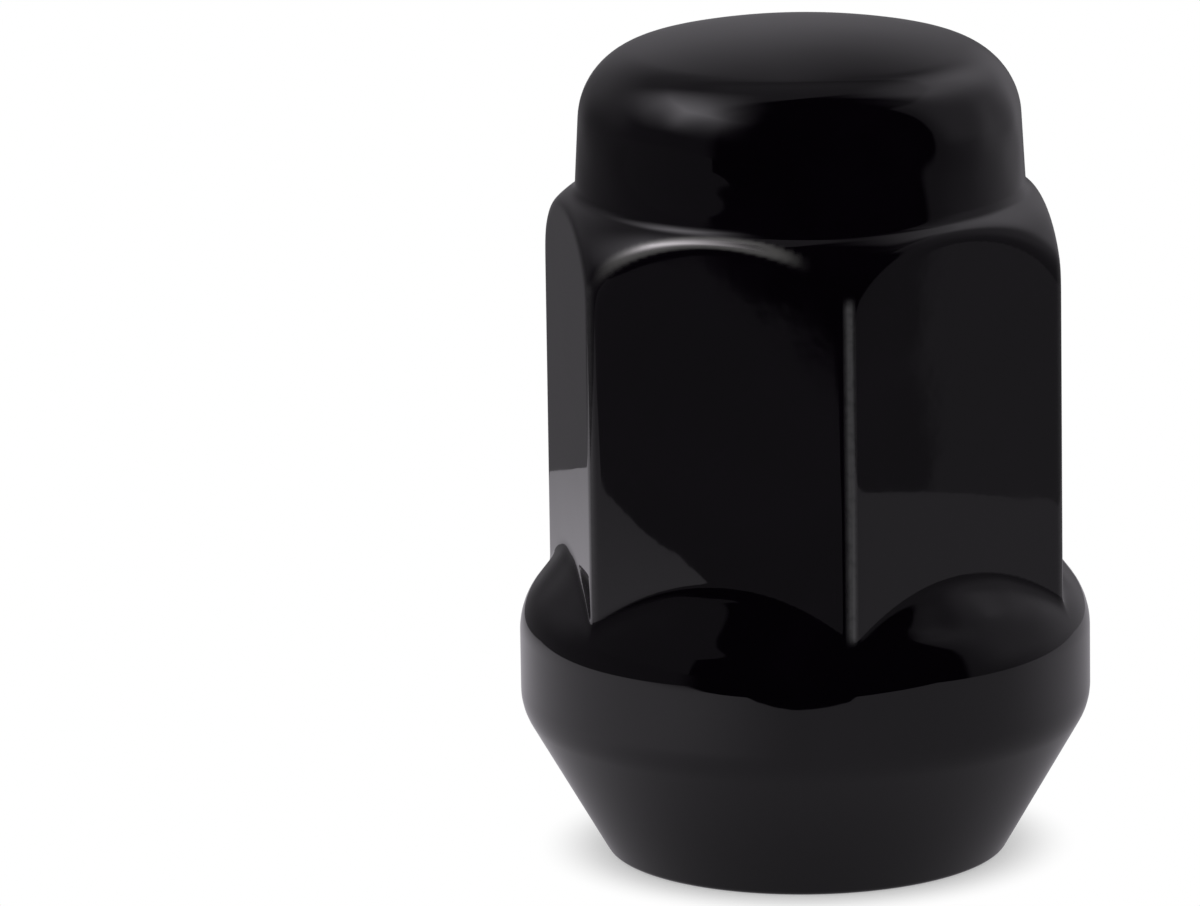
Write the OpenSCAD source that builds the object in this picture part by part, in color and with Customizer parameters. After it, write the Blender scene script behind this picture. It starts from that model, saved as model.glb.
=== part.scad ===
// Closed-end lug nut, forged and turned in one piece: a cone seat and flange at
// the foot, a hex with a rounded top, a domed cap, and a blind hole for the stud.
// The foot ring's centre is the origin, and the axis is Z.

/* [Stud thread] */
// Nominal thread diameter
thread_d = 12; // [10:0.5:14]
// Thread pitch
thread_pitch = 1.5; // [1:0.25:2]

/* [Hole] */
// Gap round the stud in the counterbore
counterbore_gap = 0.7; // [0.4:0.1:1.2]
// Depth of the counterbore's straight wall, from the foot
counterbore_depth = 2.6; // [1.5:0.1:5]
// Chamfer at the hole's mouth
mouth_chamfer = 0.35; // [0.2:0.05:0.6]
// Half angle of the cone that leads into the thread
lead_in_deg = 45; // [35:5:60]
// Full angle of the drill's point
drill_point_deg = 118; // [90:1:140]
// Steel left between the drill's point and the top of the cap
crown_wall = 3.9; // [2.5:0.1:6]

/* [Cone seat] */
// Full angle of the cone that sits in the wheel
seat_deg = 60; // [50:5:75]
// Width of the foot ring, from the mouth to the cone
foot_ring_w = 0.9; // [0.6:0.1:1.3]
// Radius on the foot's outer edge
foot_edge_r = 0.4; // [0.2:0.05:0.6]

/* [Flange] */
// How far the flange stands proud of the hex corners
flange_proud = 0.5; // [0.3:0.02:1.5]
// Radius between the cone seat and the band
band_edge_r = 2.5; // [0.5:0.1:4]
// Height from the cone seat to the top of the straight band
band_h = 3; // [2:0.1:6]
// Radius between the band and the shoulder
rim_r = 3; // [1.5:0.1:4]
// Slope of the shoulder below the level
shoulder_deg = 52; // [40:1:60]

/* [Hex] */
// Width across the flats, the wrench size
hex_af = 19; // [18:0.25:22]
// Depth turned off each sharp corner
corner_cut = 0.05; // [0.03:0.01:0.3]
// Height from the top of the band to the start of the rounded top
hex_h = 14.2; // [10:0.1:20]
// Radius of the rounded top
hex_top_r = 4.4; // [3.5:0.1:6]
// How far outside the corners the rounded top would turn upright
hex_top_out = 0.24; // [0.1:0.02:0.6]

/* [Cap] */
// How far the cap's foot lies inside the flats
cap_inset = 0.55; // [0.3:0.05:1]
// Radius of the hollow at the cap's foot
cap_fillet_r = 0.6; // [0.3:0.1:1]
// Height of the cap above that hollow
cap_h = 6.2; // [5:0.1:9]
// Lean of the cap's side towards the axis
cap_lean_deg = 3.2; // [1:0.2:6]
// Radius round the cap's edge
cap_edge_r = 3; // [1.5:0.1:4]
// Radius of the crowned top
crown_r = 27; // [20:1:60]

/* [Hidden] */
$fn = 120;
arc_steps = 10;
overlap = 1;

thread_bore_r = (thread_d - thread_pitch) / 2;
counterbore_r = thread_d / 2 + counterbore_gap;
mouth_r = counterbore_r + mouth_chamfer;
foot_r = mouth_r + foot_ring_w;

flat_r = hex_af / 2;
sharp_corner_r = flat_r / cos(30);
corner_r = sharp_corner_r - corner_cut;

flange_r = corner_r + flange_proud;
seat_half_deg = seat_deg / 2;
seat_h = (flange_r - foot_r) / tan(seat_half_deg);
band_top = seat_h + band_h;
shoulder_start = arc_point([flange_r - rim_r, band_top], rim_r, 90 - shoulder_deg);
buried_r = flat_r - overlap;
shoulder_top = shoulder_start.y + (shoulder_start.x - buried_r) * tan(shoulder_deg);

// The hex top's arc and the hollow at the cap's foot touch from outside.
hex_top_c = [corner_r + hex_top_out - hex_top_r, band_top + hex_h];
hex_top_end = acos((corner_r - hex_top_c.x) / hex_top_r);
cap_foot_r = flat_r - cap_inset;
cap_fillet_x = cap_foot_r + cap_fillet_r * cos(cap_lean_deg);
crease_deg = acos((cap_fillet_x - hex_top_c.x) / (hex_top_r + cap_fillet_r));
cap_fillet_c = hex_top_c + (hex_top_r + cap_fillet_r) * [cos(crease_deg), sin(crease_deg)];
cap_foot = arc_point(cap_fillet_c, cap_fillet_r, 180 + cap_lean_deg);
overall_h = cap_foot.y + cap_h;

// The cap's edge is tangent to its leaning side and lies inside the crown's arc.
crown_c = [0, overall_h - crown_r];
side_dir = [-sin(cap_lean_deg), cos(cap_lean_deg)];
edge_start = arc_point(cap_foot, cap_edge_r, 180 + cap_lean_deg);
to_edge = edge_start - crown_c;
along = to_edge * side_dir;
side_run = sqrt(along ^ 2 - to_edge * to_edge + (crown_r - cap_edge_r) ^ 2) - along;
cap_edge_c = edge_start + side_run * side_dir;
crown_end = atan2(cap_edge_c.y - crown_c.y, cap_edge_c.x - crown_c.x);

drill_tip = overall_h - crown_wall;
thread_top = drill_tip - thread_bore_r / tan(drill_point_deg / 2);
thread_start = counterbore_depth + (counterbore_r - thread_bore_r) / tan(lead_in_deg);

// Point on a circle in the section, and an arc of such points.
function arc_point(c, r, deg) = c + r * [cos(deg), sin(deg)];
function arc(c, r, from, to) =
    [for (i = [0 : arc_steps]) arc_point(c, r, from + (to - from) * i / arc_steps)];

// Where a round of radius r lies inside the cone seat, at a height or at a radius.
function in_cone_at_height(r, z) =
    [foot_r + z * tan(seat_half_deg) - r / cos(seat_half_deg), z];
function in_cone_at_radius(r, x) =
    [x, (x - foot_r + r / cos(seat_half_deg)) / tan(seat_half_deg)];

// Cone seat, band and shoulder, running up inside the hex.
module flange() {
    rotate_extrude()
        polygon(concat(
            [[0, 0]],
            arc(in_cone_at_height(foot_edge_r, foot_edge_r), foot_edge_r, -90, -seat_half_deg),
            arc(in_cone_at_radius(band_edge_r, flange_r - band_edge_r), band_edge_r, -seat_half_deg, 0),
            arc([flange_r - rim_r, band_top], rim_r, 0, 90 - shoulder_deg),
            [[buried_r, shoulder_top], [0, shoulder_top]]
        ));
}

// Hex with turned corners and a rounded top, and the cap that stands on it.
module hex_and_cap() {
    intersection() {
        translate([0, 0, band_top])
            cylinder(r = sharp_corner_r, h = overall_h, $fn = 6);
        rotate_extrude()
            polygon(concat(
                [[0, band_top - overlap], [corner_r, band_top - overlap]],
                arc(hex_top_c, hex_top_r, hex_top_end, crease_deg),
                arc(cap_fillet_c, cap_fillet_r, 180 + crease_deg, 180 + cap_lean_deg),
                arc(cap_edge_c, cap_edge_r, cap_lean_deg, crown_end),
                arc(crown_c, crown_r, crown_end, 90)
            ));
    }
}

// Blind hole: mouth chamfer, counterbore, lead-in, thread bore and drill point.
module stud_hole() {
    rotate_extrude()
        polygon([
            [0, -overlap],
            [mouth_r + overlap, -overlap],
            [counterbore_r, mouth_chamfer],
            [counterbore_r, counterbore_depth],
            [thread_bore_r, thread_start],
            [thread_bore_r, thread_top],
            [0, drill_tip]
        ]);
}

module lug_nut() {
    color("#17181b")
        difference() {
            union() {
                flange();
                hex_and_cap();
            }
            stud_hole();
        }
}

lug_nut();
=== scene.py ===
import math

import bmesh
import bpy
from mathutils import Matrix, Vector


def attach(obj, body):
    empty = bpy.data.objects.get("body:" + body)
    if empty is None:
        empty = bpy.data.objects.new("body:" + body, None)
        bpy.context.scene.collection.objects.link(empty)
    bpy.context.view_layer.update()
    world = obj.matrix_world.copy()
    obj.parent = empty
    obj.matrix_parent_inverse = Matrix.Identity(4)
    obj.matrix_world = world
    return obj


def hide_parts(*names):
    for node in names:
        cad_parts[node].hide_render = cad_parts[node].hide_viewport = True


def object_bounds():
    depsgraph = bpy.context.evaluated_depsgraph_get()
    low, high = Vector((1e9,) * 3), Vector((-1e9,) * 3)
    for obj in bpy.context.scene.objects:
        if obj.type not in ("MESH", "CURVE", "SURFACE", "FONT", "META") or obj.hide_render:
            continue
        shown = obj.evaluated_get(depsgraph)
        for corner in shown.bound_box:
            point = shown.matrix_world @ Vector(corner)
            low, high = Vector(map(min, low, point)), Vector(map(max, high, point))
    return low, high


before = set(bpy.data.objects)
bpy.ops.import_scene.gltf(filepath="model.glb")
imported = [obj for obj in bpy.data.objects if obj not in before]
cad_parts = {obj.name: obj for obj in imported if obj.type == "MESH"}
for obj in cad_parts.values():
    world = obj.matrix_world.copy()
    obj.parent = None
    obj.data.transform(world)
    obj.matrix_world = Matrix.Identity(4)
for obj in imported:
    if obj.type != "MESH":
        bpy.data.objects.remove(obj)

cad_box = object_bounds()

# The nut's body: one cold-forged steel blank, turned all over and then pressed to a hex,
# with a cone seat, a flange, a hex and a closed cap in one piece.
# It is dipped in gloss black, apart from the foot ring and the stud hole.
mm = 0.001

thread_d = 12.0 * mm
thread_pitch = 1.5 * mm
thread_end = 24.4 * mm
counterbore_gap = 0.7 * mm
counterbore_depth = 2.6 * mm
mouth_chamfer = 0.35 * mm
crown_wall = 3.9 * mm
drill_point = math.radians(118)

foot_ring_w = 0.9 * mm
foot_edge_r = 0.4 * mm
seat_half = math.radians(30)
flange_proud = 0.5 * mm
band_edge_r = 2.5 * mm
band_h = 3.0 * mm
rim_r = 3.0 * mm
shoulder_slope = math.radians(52)

hex_af = 19.0 * mm
corner_cut = 0.05 * mm
hex_h = 14.2 * mm
hex_top_r = 4.4 * mm
hex_top_out = 0.24 * mm

cap_inset = 0.55 * mm
cap_fillet_r = 0.6 * mm
cap_h = 6.2 * mm
cap_lean = math.radians(3.2)
cap_edge_r = 3.0 * mm
crown_r = 27.0 * mm
overall_h = cad_box[1][2]

thread_r = thread_d / 2
tap_r = (thread_d - thread_pitch) / 2
counterbore_r = thread_r + counterbore_gap
mouth_r = counterbore_r + mouth_chamfer
foot_r = mouth_r + foot_ring_w
drill_tip = overall_h - crown_wall
tap_end = drill_tip - tap_r / math.tan(drill_point / 2)
thread_start = counterbore_depth + counterbore_r - thread_r

flat_r = hex_af / 2
corner_r = flat_r / math.cos(math.radians(30)) - corner_cut
flange_r = corner_r + flange_proud
seat_h = (flange_r - foot_r) / math.tan(seat_half)
band_top = seat_h + band_h
rim_c = (flange_r - rim_r, band_top)
hex_top_c = Vector((corner_r + hex_top_out - hex_top_r, band_top + hex_h))
cap_foot_r = flat_r - cap_inset


def arc_point(centre, radius, angle):
    return Vector(centre) + radius * Vector((math.cos(angle), math.sin(angle)))


def arc(centre, radius, start, end, steps):
    turns = [start + (end - start) * i / steps for i in range(steps + 1)]
    return [arc_point(centre, radius, turn) for turn in turns]


def straight(start, end, steps):
    return [Vector(start).lerp(Vector(end), i / steps) for i in range(steps + 1)]


def turned_outside():
    """The blank's section from the foot ring up to the crown, as the lathe leaves it.

    Its rows lie close together where the arches at the flats' two ends will run.
    """
    foot_x = foot_r + foot_edge_r * math.tan(seat_half) - foot_edge_r / math.cos(seat_half)
    foot_c = (foot_x, foot_edge_r)
    band_x = flange_r - band_edge_r
    band_c = (band_x, (band_x - foot_r + band_edge_r / math.cos(seat_half)) / math.tan(seat_half))
    blank_r = hex_top_c.x + hex_top_r
    wall_turn = math.acos((blank_r - rim_c[0]) / rim_r)
    wall_foot = arc_point(rim_c, rim_r, wall_turn)
    arches_top = band_top + 5.0 * mm
    fillet_x = cap_foot_r + cap_fillet_r * math.cos(cap_lean)
    crease = math.acos((fillet_x - hex_top_c.x) / (hex_top_r + cap_fillet_r))
    fillet_c = arc_point(hex_top_c, hex_top_r + cap_fillet_r, crease)
    cap_foot = arc_point(fillet_c, cap_fillet_r, math.pi + cap_lean)
    crown_c = Vector((0, overall_h - crown_r))
    up_side = Vector((-math.sin(cap_lean), math.cos(cap_lean)))
    edge_start = arc_point(cap_foot, cap_edge_r, math.pi + cap_lean)
    to_edge = edge_start - crown_c
    along = to_edge.dot(up_side)
    run = math.sqrt(along ** 2 - to_edge.length_squared + (crown_r - cap_edge_r) ** 2) - along
    edge_c = edge_start + run * up_side
    crown_turn = math.atan2(edge_c.y - crown_c.y, edge_c.x - crown_c.x)
    return (
        arc(foot_c, foot_edge_r, -math.pi / 2, -seat_half, steps=8)
        + arc(band_c, band_edge_r, -seat_half, 0, steps=12)
        + arc(rim_c, rim_r, 0, wall_turn, steps=16)
        + straight(wall_foot, (blank_r, arches_top), steps=42)[1:]
        + straight((blank_r, arches_top), (blank_r, hex_top_c.y), steps=12)[1:]
        + arc(hex_top_c, hex_top_r, 0, crease, steps=56)[1:]
        + arc(fillet_c, cap_fillet_r, math.pi + crease, math.pi + cap_lean, steps=8)[1:]
        + arc(edge_c, cap_edge_r, cap_lean, crown_turn, steps=18)
        + arc(crown_c, crown_r, crown_turn, math.pi / 2, steps=14)[1:]
    )


def drilled_inside():
    """The section of the stud hole from the drill's point down to the foot ring."""
    return [
        Vector((0, drill_tip)),
        Vector((tap_r, tap_end)),
        Vector((tap_r, thread_end + thread_r - tap_r)),
        Vector((thread_r, thread_end)),
        Vector((thread_r, thread_start)),
        Vector((counterbore_r, counterbore_depth)),
        Vector((counterbore_r, mouth_chamfer)),
        Vector((mouth_r, 0)),
    ]


def lathe_angles(columns):
    """Angles round the axis, close together at the hex corners, where the edges are."""
    half_flat = math.radians(30)
    steps = columns // 12
    near = [half_flat * (1 - (1 - i / steps) ** 2) for i in range(steps)]
    sector = [-half_flat] + [-a for a in reversed(near[1:])] + near
    middles = [math.radians(30 + 60 * k) for k in range(6)]
    return [middle + a for middle in middles for a in sector]


def turn_blank():
    """Turns both sections about the axis into one closed mesh, with a mask on its bare faces."""
    outside = turned_outside()
    inside = drilled_inside()
    section = outside[:-1] + inside[1:]
    angles = lathe_angles(columns=216)
    rows, columns = len(section), len(angles)
    points = [(p.x * math.cos(a), p.x * math.sin(a), p.y) for p in section for a in angles]
    crown, tip = len(points), len(points) + 1
    points += [(0, 0, outside[-1].y), (0, 0, inside[0].y)]
    crown_row = len(outside) - 2
    faces = []
    bare = []
    for row in range(rows):
        start = row * columns
        next_start = (row + 1) % rows * columns
        for column in range(columns):
            beside = (column + 1) % columns
            if row == crown_row:
                faces.append((start + column, start + beside, crown))
                faces.append((next_start + beside, next_start + column, tip))
                bare += [False, True]
            else:
                faces.append((start + column, start + beside, next_start + beside, next_start + column))
                bare.append(row > crown_row)
    mesh = bpy.data.meshes.new("nut_body")
    mesh.from_pydata(points, [], faces)
    mask = mesh.attributes.new("bare", "BOOLEAN", "FACE")
    mask.data.foreach_set("value", bare)
    return mesh


def add_object(name, data):
    made = bpy.data.objects.new(name, data)
    bpy.context.scene.collection.objects.link(made)
    return made


nut_body = add_object("nut_body", turn_blank())


class Tree:
    """A node tree with short calls for its nodes and links."""

    def __init__(self, tree):
        self.tree = tree

    def take(self, name, kind="NodeSocketFloat"):
        self.tree.interface.new_socket(name, in_out="INPUT", socket_type=kind)

    def give(self, name, kind="NodeSocketFloat"):
        self.tree.interface.new_socket(name, in_out="OUTPUT", socket_type=kind)

    def node(self, kind, inputs=(), **settings):
        made = self.tree.nodes.new(kind)
        for name, value in settings.items():
            setattr(made, name, value)
        for name, value in dict(inputs).items():
            self.feed(made.inputs[name], value)
        return made

    def feed(self, socket, value):
        if isinstance(value, bpy.types.NodeSocket):
            self.tree.links.new(value, socket)
        else:
            socket.default_value = value

    def math(self, operation, *values):
        made = self.node("ShaderNodeMath", operation=operation)
        for socket, value in zip(made.inputs, values):
            self.feed(socket, value)
        return made.outputs[0]

    def ease(self, value, low, high, start=0.0, end=1.0):
        """A smooth step from start to end as value goes from low to high."""
        made = self.node("ShaderNodeMapRange", interpolation_type="SMOOTHSTEP")
        for socket, given in zip(made.inputs, (value, low, high, start, end)):
            self.feed(socket, given)
        return made.outputs[0]

    def split(self, vector):
        return self.node("ShaderNodeSeparateXYZ", {"Vector": vector}).outputs

    def polar(self, vector):
        """A place's distance from the axis, its angle round the axis and its height."""
        x, y, z = self.split(vector)
        square = self.math("ADD", self.math("MULTIPLY", x, x), self.math("MULTIPLY", y, y))
        return self.math("SQRT", square), self.math("ARCTAN2", y, x), z


def mill_hex_tree():
    """Moves the blank's wall in to six flats, with the flange left standing below them."""
    t = Tree(bpy.data.node_groups.new("mill_hex", "GeometryNodeTree"))
    t.take("Geometry", "NodeSocketGeometry")
    for name in ("Flat", "Corner", "Corner Round", "Edge Round", "Foot Round", "Band Top",
                 "Rim Middle", "Rim Round", "Shoulder Radius", "Shoulder Height", "Shoulder Fall",
                 "Wall Top", "Corner Mark From", "Corner Mark To", "Glint Flat", "Cap Foot"):
        t.take(name)
    t.take("Coat", "NodeSocketMaterial")
    t.take("Bare Steel", "NodeSocketMaterial")
    t.give("Geometry", "NodeSocketGeometry")
    size = t.node("NodeGroupInput").outputs
    place = t.node("GeometryNodeInputPosition").outputs[0]
    radius, angle, z = t.polar(place)
    tiny = 1e-6

    # The hex: six flats with softened corners, under the rounded top.
    sixth = math.radians(60)
    from_flat = t.math("SUBTRACT", t.math("FLOORED_MODULO", angle, sixth), sixth / 2)
    sharp_hex = t.math("DIVIDE", size["Flat"], t.math("COSINE", from_flat))
    hexagon = t.math("SMOOTH_MIN", sharp_hex, size["Corner"], size["Corner Round"])
    milled = t.math("SMOOTH_MIN", radius, hexagon, size["Edge Round"])

    # The flange: its rounded rim, and the sloping shoulder above that.
    above_band = t.math("SUBTRACT", z, size["Band Top"])
    rim_square = t.math("SUBTRACT", t.math("MULTIPLY", size["Rim Round"], size["Rim Round"]),
                        t.math("MULTIPLY", above_band, above_band))
    rim = t.math("ADD", size["Rim Middle"], t.math("SQRT", t.math("MAXIMUM", rim_square, 0.0)))
    rise = t.math("SUBTRACT", z, size["Shoulder Height"])
    cone = t.math("SUBTRACT", size["Shoulder Radius"], t.math("MULTIPLY", rise, size["Shoulder Fall"]))
    on_cone = t.math("GREATER_THAN", rise, 0.0)
    flange = t.math("ADD", t.math("MULTIPLY", on_cone, cone),
                    t.math("MULTIPLY", t.math("SUBTRACT", 1.0, on_cone), rim))

    # The wall between the band and the cap moves to whichever of the two stands further out.
    wall_share = 0.94
    new_radius = t.math("SMOOTH_MAX", milled, flange, size["Foot Round"])
    outer = t.math("GREATER_THAN", radius, t.math("MULTIPLY", size["Flat"], wall_share))
    chosen = t.math("MULTIPLY", outer, t.math("GREATER_THAN", above_band, tiny))
    scale = t.math("DIVIDE", new_radius, t.math("MAXIMUM", radius, tiny))
    stretch = t.node("ShaderNodeCombineXYZ", {"X": scale, "Y": scale, "Z": 1.0}).outputs[0]
    moved = t.node("ShaderNodeVectorMath", {0: place, 1: stretch}, operation="MULTIPLY").outputs[0]

    # Where the coat is lighter along the corners: rubbed thin on every corner, and most on the front one,
    # where the extra is a painted highlight line.
    mark_foot, mark_top = 0.5 * mm, 0.3 * mm
    next_corner, front_corner, next_wear = math.radians(50), math.radians(10), 0.3
    on_corner = t.ease(sharp_hex, size["Corner Mark From"], size["Corner Mark To"])
    below_top = t.math("SUBTRACT", size["Wall Top"], z)
    on_wall = t.math("MULTIPLY", t.ease(rise, 0.0, mark_foot), t.ease(below_top, -mark_top, mark_top))
    wear_and_front_highlight = t.ease(t.math("ABSOLUTE", angle), next_corner, front_corner, next_wear, 1.0)
    corner_rub_and_highlight = t.math("MULTIPLY", t.math("MULTIPLY", on_corner, on_wall), wear_and_front_highlight)

    # A painted glint: a line of metallic steel along one flat's top edge, fading to its ends, where it
    # mirrors the window as a bright crescent.
    line_inset, line_soft, line_core = 0.08 * mm, 0.32 * mm, 0.05 * mm
    left_end, left_full = math.radians(-30), math.radians(-16)
    right_end, right_full = math.radians(22), math.radians(6)
    line_foot = 0.5 * mm
    off_line = t.math("ADD", t.math("SUBTRACT", radius, hexagon), line_inset)
    on_line = t.ease(t.math("ABSOLUTE", off_line), line_soft, line_core)
    along = t.math("SUBTRACT", angle, size["Glint Flat"])
    ends = t.math("MULTIPLY", t.ease(along, left_end, left_full), t.ease(along, right_end, right_full))
    high = t.math("MULTIPLY", ends, t.ease(below_top, line_foot, -line_foot))
    glint_line = t.math("MULTIPLY", on_line, high)

    # Where the forging is a little uneven under the coat: on the shoulder and the cap's side.
    past_hex_from, past_hex_to = -0.2 * mm, 0.3 * mm
    past_rim_from, past_rim_to = 1.3 * mm, 2.3 * mm
    side_foot, side_full, side_top = 0.8 * mm, 3.2 * mm, 5.0 * mm
    past_hex = t.ease(t.math("SUBTRACT", flange, milled), past_hex_from, past_hex_to)
    on_shoulder = t.math("MULTIPLY", past_hex, t.ease(above_band, past_rim_from, past_rim_to))
    up_cap = t.math("SUBTRACT", z, size["Cap Foot"])
    on_cap = t.math("MULTIPLY", t.ease(up_cap, 0.0, side_foot), t.ease(up_cap, side_top, side_full))
    uneven = t.math("MAXIMUM", on_shoulder, on_cap)

    marked = size["Geometry"]
    for name, mask in (("corner_rub_and_highlight", corner_rub_and_highlight), ("glint_line", glint_line), ("uneven", uneven)):
        marked = t.node("GeometryNodeStoreNamedAttribute", {
            "Geometry": marked, "Name": name, "Value": mask}, data_type="FLOAT", domain="POINT").outputs[0]
    shape = t.node("GeometryNodeSetPosition", {
        "Geometry": marked, "Selection": chosen, "Position": moved})
    real = t.node("GeometryNodeRealizeInstances", {"Geometry": shape.outputs[0]})
    coat = t.node("GeometryNodeSetMaterial", {"Geometry": real.outputs[0], "Material": size["Coat"]})
    bare = t.node("GeometryNodeInputNamedAttribute", {"Name": "bare"}, data_type="BOOLEAN")
    steel = t.node("GeometryNodeSetMaterial", {
        "Geometry": coat.outputs[0], "Selection": bare.outputs[0], "Material": size["Bare Steel"]})
    t.feed(t.node("NodeGroupOutput").inputs[0], steel.outputs[0])
    return t.tree


def smudge_group():
    """Soft cloudy patches, as handling and cleaning leave on a smooth metal or coated face."""
    grain_finer = 24.0
    patch_from, patch_to = 0.38, 0.66
    t = Tree(bpy.data.node_groups.new("smudges", "ShaderNodeTree"))
    t.take("Vector", "NodeSocketVector")
    t.take("Scale")
    t.give("Patches")
    t.give("Grain")
    given = t.node("NodeGroupInput").outputs
    cloud = t.node("ShaderNodeTexNoise", {
        "Vector": given["Vector"], "Scale": given["Scale"],
        "Detail": 4.0, "Roughness": 0.62, "Distortion": 0.6})
    fine_scale = t.math("MULTIPLY", given["Scale"], grain_finer)
    fine = t.node("ShaderNodeTexNoise", {"Vector": given["Vector"], "Scale": fine_scale, "Detail": 2.0})
    result = t.node("NodeGroupOutput").inputs
    t.feed(result["Patches"], t.ease(cloud.outputs["Fac"], patch_from, patch_to))
    t.feed(result["Grain"], fine.outputs["Fac"])
    return t.tree


smudges = smudge_group()


def new_finish(name):
    """A material with its tree, its shader and the Object coordinates that its patterns read."""
    material = bpy.data.materials.new(name)
    material.use_nodes = True
    t = Tree(material.node_tree)
    skin = material.node_tree.nodes["Principled BSDF"]
    place = t.node("ShaderNodeTexCoord").outputs["Object"]
    return material, t, skin, place


def blend_colour(t, factor, first, second):
    """Goes from the first colour to the second, on the Mix node's own colour sockets."""
    factor_in, first_in, second_in, colour_out = 0, 6, 7, 2
    mix = t.node("ShaderNodeMix", {factor_in: factor, first_in: first, second_in: second}, data_type="RGBA")
    return mix.outputs[colour_out]


def bump(t, height, depth, under=None):
    made = t.node("ShaderNodeBump", {"Strength": 1.0, "Distance": depth, "Height": height})
    if under is not None:
        t.feed(made.inputs["Normal"], under)
    return made.outputs["Normal"]


def gloss_black_coat():
    deep_black = (0.0006, 0.0002, 0.0009, 1)
    cloudy_black = (0.0010, 0.0004, 0.0014, 1)
    rubbed_and_lit_black = (0.050, 0.049, 0.051, 1)
    glint_steel = (0.24, 0.235, 0.23, 1)
    clean_rough, cloudy_rough, corner_rough = 0.018, 0.04, 0.08
    grain_from, grain_to, grain_least = 0.25, 0.6, 0.72
    cloud_scale, flow_scale, dip_scale, peel_scale = 130.0, 210.0, 420.0, 1500.0
    flow_depth, dip_depth, peel_depth = 0.011 * mm, 0.22 * mm, 0.0004 * mm
    dip_pattern = 6.2
    material, t, skin, place = new_finish("gloss_black_coat")
    cloudy = t.node("ShaderNodeGroup", {"Vector": place, "Scale": cloud_scale}, node_tree=smudges).outputs

    clean = blend_colour(t, cloudy["Patches"], deep_black, cloudy_black)
    # Lighter corners: rubbed coat on all of them, and a painted highlight line on the front one.
    rub_and_highlight = t.node("ShaderNodeAttribute", attribute_name="corner_rub_and_highlight").outputs["Fac"]
    patchy = t.math("MULTIPLY", rub_and_highlight, t.ease(cloudy["Grain"], grain_from, grain_to, grain_least, 1.0))
    rubbed_and_lit = blend_colour(t, patchy, clean, rubbed_and_lit_black)
    # The painted glint: metallic steel along one flat's top edge, mirroring the window.
    bright = t.node("ShaderNodeAttribute", attribute_name="glint_line").outputs["Fac"]
    t.feed(skin.inputs["Base Color"], blend_colour(t, bright, rubbed_and_lit, glint_steel))
    t.feed(skin.inputs["Metallic"], bright)
    dulled = t.ease(cloudy["Patches"], 0.0, 1.0, clean_rough, cloudy_rough)
    t.feed(skin.inputs["Roughness"], t.math("ADD", dulled, t.math("MULTIPLY", patchy, corner_rough)))

    flow = t.node("ShaderNodeTexNoise", {"Vector": place, "Scale": flow_scale, "Detail": 1.0})
    peel = t.node("ShaderNodeTexNoise", {"Vector": place, "Scale": peel_scale, "Detail": 1.0})
    dips = t.node("ShaderNodeTexNoise", {
        "Vector": place, "Scale": dip_scale, "W": dip_pattern, "Detail": 0.0}, noise_dimensions="4D")
    uneven = t.node("ShaderNodeAttribute", attribute_name="uneven").outputs["Fac"]
    hollows = t.math("MULTIPLY", uneven, t.math("SUBTRACT", dips.outputs["Fac"], 0.5))
    waves = bump(t, hollows, dip_depth, bump(t, flow.outputs["Fac"], flow_depth))
    t.feed(skin.inputs["Normal"], bump(t, peel.outputs["Fac"], peel_depth, waves))
    return material


def turning_group():
    """Fine rings that a cutting tool leaves on a turned face, a bore or a chamfer."""
    t = Tree(bpy.data.node_groups.new("turning_marks", "ShaderNodeTree"))
    t.take("Vector", "NodeSocketVector")
    t.take("Rings")
    t.give("Ridges")
    given = t.node("NodeGroupInput").outputs
    radius, _, z = t.polar(given["Vector"])
    along_cut = t.math("MULTIPLY", t.math("SUBTRACT", radius, z), given["Rings"])
    rings = t.node("ShaderNodeTexNoise", {
        "W": along_cut, "Scale": 1.0, "Detail": 3.0}, noise_dimensions="1D")
    t.feed(t.node("NodeGroupOutput").inputs["Ridges"], rings.outputs["Fac"])
    return t.tree


turning_marks = turning_group()


def bare_turned_steel():
    bright = (0.66, 0.65, 0.63, 1)
    oily = (0.47, 0.45, 0.41, 1)
    groove_rough, ridge_rough, oil_rough = 0.20, 0.34, 0.08
    cloud_scale, rings_per_metre, ring_depth = 260.0, 16000.0, 0.004 * mm
    material, t, skin, place = new_finish("bare_turned_steel")
    cloudy = t.node("ShaderNodeGroup", {"Vector": place, "Scale": cloud_scale}, node_tree=smudges).outputs
    marks = t.node("ShaderNodeGroup", {
        "Vector": place, "Rings": rings_per_metre}, node_tree=turning_marks).outputs
    skin.inputs["Metallic"].default_value = 1
    t.feed(skin.inputs["Base Color"], blend_colour(t, cloudy["Patches"], bright, oily))
    cut_rough = t.ease(marks["Ridges"], 0.3, 0.7, groove_rough, ridge_rough)
    oiled = t.math("MULTIPLY", cloudy["Patches"], oil_rough)
    t.feed(skin.inputs["Roughness"], t.math("ADD", cut_rough, oiled))
    t.feed(skin.inputs["Normal"], bump(t, marks["Ridges"], ring_depth))
    return material


def run_tree(piece, tree, sizes):
    """Runs a tree on a piece, and leaves its result as the piece's plain mesh."""
    sharp_from = math.radians(28)
    modifier = piece.modifiers.new(tree.name, "NODES")
    modifier.node_group = tree
    for socket in tree.interface.items_tree:
        if socket.item_type == "SOCKET" and socket.in_out == "INPUT" and socket.name in sizes:
            modifier[socket.identifier] = sizes[socket.name]
    graph = bpy.context.evaluated_depsgraph_get()
    made = bpy.data.meshes.new_from_object(piece.evaluated_get(graph), depsgraph=graph)
    piece.modifiers.remove(modifier)
    piece.data = made
    made.shade_smooth()
    made.set_sharp_from_angle(angle=sharp_from)


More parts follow.
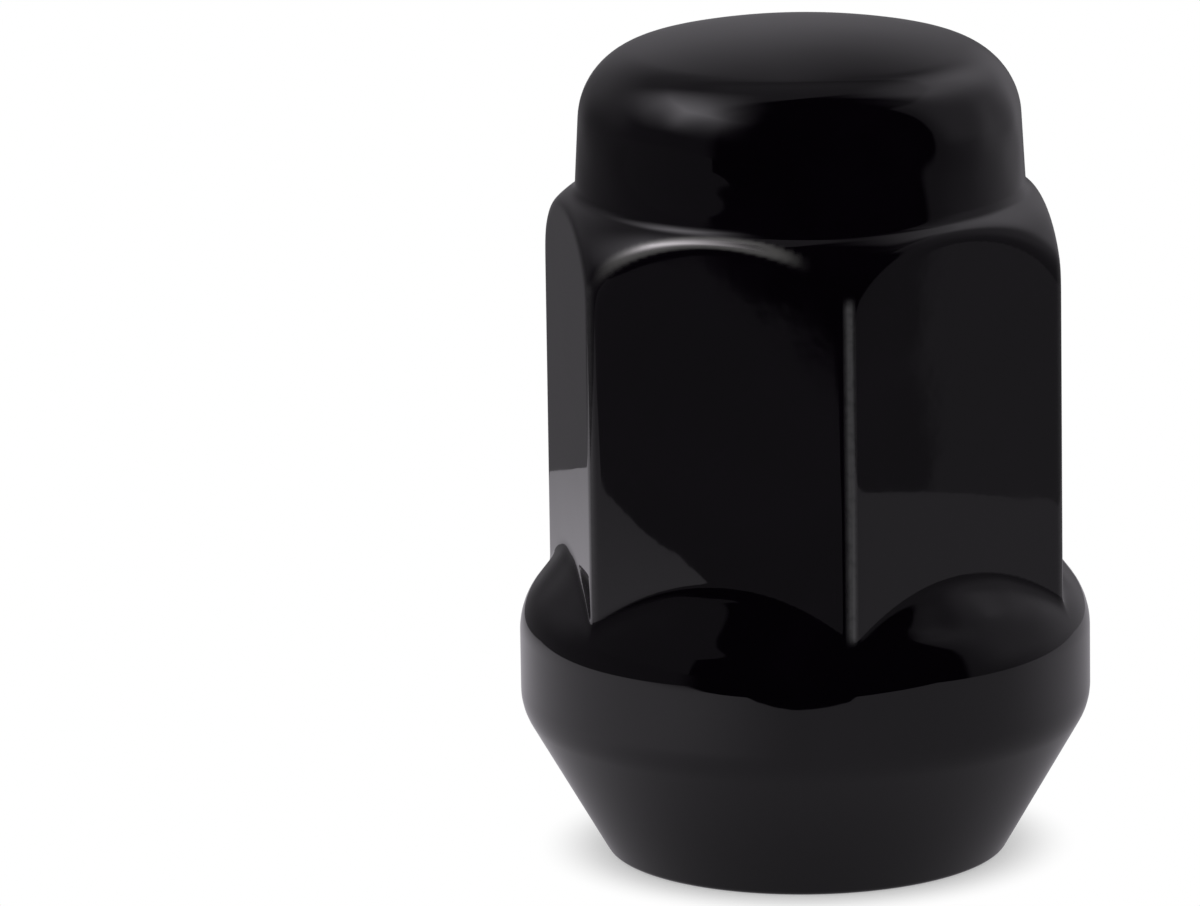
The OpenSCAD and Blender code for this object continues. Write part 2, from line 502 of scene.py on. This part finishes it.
rim_end = arc_point(rim_c, rim_r, math.pi / 2 - shoulder_slope)
wall_top = hex_top_c.y + math.sqrt(hex_top_r ** 2 - (corner_r - hex_top_c.x) ** 2)
run_tree(nut_body, mill_hex_tree(), {
    "Flat": flat_r,
    "Corner": corner_r,
    "Corner Round": 0.15 * mm,
    "Edge Round": 0.45 * mm,
    "Foot Round": 0.4 * mm,
    "Band Top": band_top,
    "Rim Middle": rim_c[0],
    "Rim Round": rim_r,
    "Shoulder Radius": rim_end.x,
    "Shoulder Height": rim_end.y,
    "Shoulder Fall": 1 / math.tan(shoulder_slope),
    "Wall Top": wall_top,
    "Corner Mark From": corner_r - 0.08 * mm,
    "Corner Mark To": corner_r + 0.01 * mm,
    "Glint Flat": math.radians(-30),
    "Cap Foot": overall_h - cap_h,
    "Coat": gloss_black_coat(),
    "Bare Steel": bare_turned_steel(),
})
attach(nut_body, "root")
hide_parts("lug_nut")

# The stud thread: a right-hand M12 x 1.5 thread, tapped in the steel of the blind hole.
# It starts on the hole's lead-in cone and runs out before the drill's point.
# The steel here has a thin, warm zinc skin instead of the black.
root_w = thread_pitch / 8
flank_lean = math.radians(30)
ridge_base_w = thread_pitch - root_w
ridge_h = thread_r - tap_r
ridge_crest_w = ridge_base_w - 2 * ridge_h * math.tan(flank_lean)
ridge_buried = 0.05 * mm
thread_fade = 0.9 * mm


def tap_thread_tree():
    """Sweeps the thread's ridge up the hole's wall, growing in at the mouth and out at the top."""
    turn_steps = 72
    least_ridge = 0.06
    t = Tree(bpy.data.node_groups.new("tap_thread", "GeometryNodeTree"))
    t.take("Geometry", "NodeSocketGeometry")
    for name in ("Wall", "Buried", "Start", "End", "Pitch",
                 "Base Width", "Crest Width", "Height", "Fade"):
        t.take(name)
    t.take("Steel", "NodeSocketMaterial")
    t.give("Geometry", "NodeSocketGeometry")
    size = t.node("NodeGroupInput").outputs
    rise = t.math("SUBTRACT", size["End"], size["Start"])
    path_r = t.math("ADD", size["Wall"], size["Buried"])
    path = t.node("GeometryNodeCurveSpiral", {
        "Resolution": turn_steps, "Rotations": t.math("DIVIDE", rise, size["Pitch"]),
        "Start Radius": path_r, "End Radius": path_r, "Height": rise, "Reverse": True})
    lift = t.node("ShaderNodeCombineXYZ", {"Z": size["Start"]}).outputs[0]
    path = t.node("GeometryNodeTransform", {"Geometry": path.outputs[0], "Translation": lift})
    path = t.node("GeometryNodeSetCurveNormal", {"Curve": path.outputs[0]}, mode="Z_UP")
    _, _, z = t.split(t.node("GeometryNodeInputPosition").outputs[0])
    grown = t.ease(z, size["Start"], t.math("ADD", size["Start"], size["Fade"]), least_ridge)
    ended = t.ease(z, size["End"], t.math("SUBTRACT", size["End"], size["Fade"]), least_ridge)
    tall = t.math("ADD", size["Height"], size["Buried"])
    ridge = t.node("GeometryNodeCurvePrimitiveQuadrilateral", {
        "Height": tall, "Bottom Width": size["Base Width"],
        "Top Width": size["Crest Width"], "Offset": 0.0}, mode="TRAPEZOID")
    inward = t.node("ShaderNodeCombineXYZ", {"X": t.math("MULTIPLY", tall, -0.5)}).outputs[0]
    ridge = t.node("GeometryNodeTransform", {
        "Geometry": ridge.outputs[0], "Translation": inward, "Rotation": (0, 0, math.pi / 2)})
    swept = t.node("GeometryNodeCurveToMesh", {
        "Curve": path.outputs[0], "Profile Curve": ridge.outputs[0],
        "Scale": t.math("MULTIPLY", grown, ended), "Fill Caps": True})
    real = t.node("GeometryNodeRealizeInstances", {"Geometry": swept.outputs[0]})
    steel = t.node("GeometryNodeSetMaterial", {"Geometry": real.outputs[0], "Material": size["Steel"]})
    t.feed(t.node("NodeGroupOutput").inputs[0], steel.outputs[0])
    return t.tree


def zinc_thread():
    pale_zinc = (0.70, 0.66, 0.56, 1)
    dark_root = (0.24, 0.21, 0.16, 1)
    root_dark, oil_dark = 0.75, 0.2
    crest_band = 0.15 * mm
    smooth_rough, grainy_rough = 0.22, 0.36
    cloud_scale, rings_per_metre, ring_depth = 420.0, 22000.0, 0.002 * mm
    material, t, skin, place = new_finish("zinc_thread")
    cloudy = t.node("ShaderNodeGroup", {"Vector": place, "Scale": cloud_scale}, node_tree=smudges).outputs
    marks = t.node("ShaderNodeGroup", {
        "Vector": place, "Rings": rings_per_metre}, node_tree=turning_marks).outputs
    radius, _, _ = t.polar(place)
    # Painted shade: the zinc darkens towards the thread's roots between the ridges, and also in cloudy oily
    # patches.
    root_shade = t.math("MULTIPLY", t.ease(radius, tap_r + crest_band, thread_r), root_dark)
    oiled = t.math("ADD", root_shade, t.math("MULTIPLY", cloudy["Patches"], oil_dark))
    skin.inputs["Metallic"].default_value = 1
    t.feed(skin.inputs["Base Color"], blend_colour(t, oiled, pale_zinc, dark_root))
    t.feed(skin.inputs["Roughness"], t.ease(cloudy["Grain"], 0.3, 0.7, smooth_rough, grainy_rough))
    t.feed(skin.inputs["Normal"], bump(t, marks["Ridges"], ring_depth))
    return material


stud_thread = add_object("stud_thread", bpy.data.meshes.new("stud_thread"))
run_tree(stud_thread, tap_thread_tree(), {
    "Wall": thread_r,
    "Buried": ridge_buried,
    "Start": thread_start,
    "End": thread_end,
    "Pitch": thread_pitch,
    "Base Width": ridge_base_w,
    "Crest Width": ridge_crest_w,
    "Height": ridge_h,
    "Fade": thread_fade,
    "Steel": zinc_thread(),
})
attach(stud_thread, "root")

# The stage: a sheet of white paper under the nut, cut back in front where the camera stands.
# The gloss mirrors it as pale grey, and the nut's shadow on it stays close round the foot.
view_azimuth = math.radians(-9.856)
to_camera = Matrix.Rotation(view_azimuth, 3, "Z")
room_tint = (1.0, 0.96, 1.03, 1)
paper_outline = [(-60, -80), (76, -80), (46.5, -36), (44, -26), (44, 12), (58, 70), (-60, 70)]


def cut_sheet(name, outline, height):
    """A level sheet, with its outline in millimetres towards the camera and to the right."""
    mesh = bpy.data.meshes.new(name)
    corners = [to_camera @ Vector((ahead * mm, across * mm, height)) for ahead, across in outline]
    mesh.from_pydata(corners, [], [tuple(range(len(corners)))])
    return add_object(name, mesh)


def stage_material(name):
    """A material with an empty tree, and its places towards the camera and to the right."""
    material = bpy.data.materials.new(name)
    material.use_nodes = True
    material.node_tree.nodes.clear()
    t = Tree(material.node_tree)
    place = t.node("ShaderNodeTexCoord").outputs["Object"]
    turned = t.node("ShaderNodeMapping", {"Vector": place, "Rotation": (0, 0, -view_azimuth)})
    return material, t, turned.outputs[0]


def white_paper():
    plain_glow, window_glow, wall_glow = 0.33, 0.29, 0.09
    window_reach, window_from, window_to = 30 * mm, 72 * mm, 24 * mm
    wall_from, wall_to, wall_end = 8 * mm, 30 * mm, 12 * mm
    shade_from, shade_to, shade_level = 7.5 * mm, 15 * mm, 0.70
    shadow_from, shadow_to, shadow_glow = 7.6 * mm, 11.0 * mm, 0.36
    sheet_white = (0.95, 0.95, 0.95, 1)
    material, t, place = stage_material("white_paper")
    ahead, across, _ = t.split(place)
    radius, _, _ = t.polar(place)
    on_left = t.ease(across, 0.0, -window_reach, 0.0, window_glow)
    by_window = t.math("MULTIPLY", on_left, t.ease(t.math("ABSOLUTE", ahead), window_from, window_to))
    on_right = t.ease(across, wall_from, wall_to, 0.0, wall_glow)
    by_wall = t.math("MULTIPLY", on_right, t.ease(ahead, wall_end, -wall_end))
    lit = t.math("ADD", t.math("ADD", by_window, by_wall), plain_glow)
    shaded = t.math("MULTIPLY", lit, t.ease(radius, shade_from, shade_to, shade_level, 1.0))
    mirrored = t.node("ShaderNodeEmission", {"Color": room_tint, "Strength": shaded})
    sheet = t.node("ShaderNodeBsdfDiffuse", {"Color": sheet_white})
    white = t.node("ShaderNodeEmission", {"Strength": 1.0})
    clear = t.ease(radius, shadow_from, shadow_to, shadow_glow)
    seen = t.node("ShaderNodeMixShader", {0: clear, 1: sheet.outputs[0], 2: white.outputs[0]})
    camera_ray = t.node("ShaderNodeLightPath").outputs["Is Camera Ray"]
    mix = t.node("ShaderNodeMixShader", {0: camera_ray, 1: mirrored.outputs[0], 2: seen.outputs[0]})
    t.node("ShaderNodeOutputMaterial", {"Surface": mix.outputs[0]})
    return material


paper = cut_sheet("paper", paper_outline, 0)
paper.data.materials.append(white_paper())

# The room: a ball round the nut that only its gloss shows, with the light inside it.
# It is dark in front, with dim walls at the sides and back, a pale ceiling,
# and a window high on the left.
room_r = 300 * mm
dark_level = 0.010


def pane(azimuth, elevation, half_width, half_height, soft, level, lean=0.0, far_soft=None):
    """A soft-edged lit patch of the room, in degrees from the camera's side and from the level."""
    return {"azimuth": azimuth, "elevation": elevation,
            "half_width": half_width, "half_height": half_height,
            "soft": soft, "far_soft": far_soft or soft, "level": level, "lean": lean}


room_panes = {
    "left wall": pane(-115, 5, 68, 53, 6, 0.085, lean=0.07),
    "low left wall": pane(-41.5, -20.5, 5.5, 14, 0.15, 0.105, lean=-0.8),
    "low right wall": pane(94, -20, 15, 13, 0.2, 0.086),
    "back wall": pane(188, 26, 68, 15, 14, 0.115, lean=0.11),
    "right wall": pane(124, 4, 56.5, 50, 2, 0.11, far_soft=40),
    "upper right wall": pane(121, 22, 43.5, 30, 13.5, 0.15, lean=-0.3),
    "window": pane(-80, 51, 27.5, 3, 27.5, 3.75, lean=-0.07),
    "bright corner": pane(125, 51, 25, 13, 14, 0.55, lean=-0.35),
    "ceiling": pane(206, 87, 88, 31.5, 13, 0.175),
}


def mirrored_room():
    """The room's glow: each pane's light in its own direction, with its edges a little wavy."""
    sway, sway_scale = math.radians(5), 2.6
    crisp_soft = 1
    material, t, place = stage_material("mirrored_room")
    direction = t.node("ShaderNodeVectorMath", {0: place}, operation="NORMALIZE").outputs[0]
    ripple = t.node("ShaderNodeTexNoise", {"Vector": direction, "Scale": sway_scale, "Detail": 1.0})
    swing = t.split(ripple.outputs["Color"])
    _, azimuth, z = t.polar(direction)
    steady = (azimuth, t.math("ARCSINE", z))
    swaying = [t.math("MULTIPLY_ADD", t.math("SUBTRACT", swing[i], 0.5), sway, steady[i]) for i in (0, 1)]
    light = dark_level
    for lit_pane in room_panes.values():
        round_axis, height = steady if lit_pane["soft"] < crisp_soft else swaying
        half_turn = math.radians(180 - lit_pane["azimuth"])
        from_behind = t.math("FLOORED_MODULO", t.math("ADD", round_axis, half_turn), math.tau)
        across = t.math("SUBTRACT", from_behind, math.pi)
        middle = t.math("MULTIPLY_ADD", across, lit_pane["lean"], math.radians(lit_pane["elevation"]))
        upward = t.math("SUBTRACT", height, middle)
        lit = lit_pane["level"]
        for off, half, soft in (
                (t.math("MULTIPLY", across, -1.0), lit_pane["half_width"], lit_pane["soft"]),
                (across, lit_pane["half_width"], lit_pane["far_soft"]),
                (t.math("ABSOLUTE", upward), lit_pane["half_height"], lit_pane["soft"])):
            edge = t.ease(off, math.radians(half + soft), math.radians(half - soft))
            lit = t.math("MULTIPLY", edge, lit)
        light = t.math("ADD", lit, light)
    glow = t.node("ShaderNodeEmission", {"Color": room_tint, "Strength": light})
    t.node("ShaderNodeOutputMaterial", {"Surface": glow.outputs[0]})
    return material


def show_in_gloss_only(piece):
    piece.visible_camera = False
    piece.visible_diffuse = False
    piece.visible_transmission = False
    piece.visible_shadow = False


room_mesh = bpy.data.meshes.new("room")
ball = bmesh.new()
bmesh.ops.create_icosphere(ball, subdivisions=5, radius=room_r)
ball.to_mesh(room_mesh)
ball.free()
room_mesh.materials.append(mirrored_room())
room = add_object("room", room_mesh)
show_in_gloss_only(room)

# The flag: a dim card hung level on the left, between the window and the nut's foot.
# It keeps the window out of the shoulder's gloss, and the cap and the hex top see past it.
flag_h = 26.9 * mm
flag_outline = [(20, -4), (15.5, -7), (1, -28), (-4, -36), (-6, -70), (70, -70), (70, -4)]


def dim_card():
    """Dim on the far side of a slanting edge with a notch in it, and dark on the near side."""
    card_level = 0.105
    edge_slant, edge_from, edge_to = 0.93, 4 * mm, 6 * mm
    notch_from, notch_to, notch_depth = 22 * mm, 36 * mm, 6 * mm
    notch_middle = (notch_from + notch_to) / 2
    material, t, place = stage_material("dim_card")
    ahead, across, _ = t.split(place)
    radius, _, _ = t.polar(place)
    notch = t.math("MULTIPLY", t.ease(radius, notch_from, notch_middle),
                   t.ease(radius, notch_to, notch_middle, 0.0, notch_depth))
    past_edge = t.math("SUBTRACT", t.math("MULTIPLY_ADD", across, edge_slant, ahead), notch)
    level = t.ease(past_edge, edge_from, edge_to, card_level, dark_level)
    glow = t.node("ShaderNodeEmission", {"Color": room_tint, "Strength": level})
    t.node("ShaderNodeOutputMaterial", {"Surface": glow.outputs[0]})
    return material


flag = cut_sheet("flag", flag_outline, flag_h)
flag.data.materials.append(dim_card())
show_in_gloss_only(flag)

# The white surroundings: even light from every side, which is also the white behind the nut.
# The room stands between them and the nut's gloss, so the gloss doesn't mirror them.
world = bpy.data.worlds.new("white_room")
bpy.context.scene.world = world
world.use_nodes = True
background = world.node_tree.nodes["Background"].inputs
background["Color"].default_value = (1, 1, 1, 1)
background["Strength"].default_value = 1.0

# The camera: it stands where the photograph was taken, looking down a little on a hex corner.
# Its lens and aim give the nut the photograph's size and place, and it is rolled as slightly.
photo_w, photo_h = 1200, 906
view_distance = 450 * mm
view_elevation = math.radians(13.6)
view_roll = math.radians(0.615)
pixels_per_metre = 25043
nut_middle = Vector((0, 0, 17 * mm))
nut_middle_px = (802.8, 431.3)

outward = Vector((
    math.cos(view_elevation) * math.cos(view_azimuth),
    math.cos(view_elevation) * math.sin(view_azimuth),
    math.sin(view_elevation),
))
forward = -outward
right = forward.cross(Vector((0, 0, 1))).normalized()
up = right.cross(forward)
focal_px = pixels_per_metre * view_distance
to_nut = Vector((nut_middle_px[0] - photo_w / 2, photo_h / 2 - nut_middle_px[1], focal_px))
aim = Vector((0, 0, 1)).rotation_difference(to_nut).to_matrix()
turned = aim @ Matrix.Rotation(view_roll, 3, "Z") @ Matrix((right, up, forward))
camera_data = bpy.data.cameras.new("camera")
camera_data.sensor_fit = "HORIZONTAL"
camera_data.lens = focal_px / photo_w * camera_data.sensor_width
camera_data.clip_start = 10 * mm
camera = add_object("camera", camera_data)
camera.matrix_world = Matrix.LocRotScale(
    nut_middle + outward * view_distance,
    Matrix((turned[0], turned[1], -turned[2])).transposed(),
    None,
)
bpy.context.scene.camera = camera
bpy.context.scene.view_settings.view_transform = "Standard"
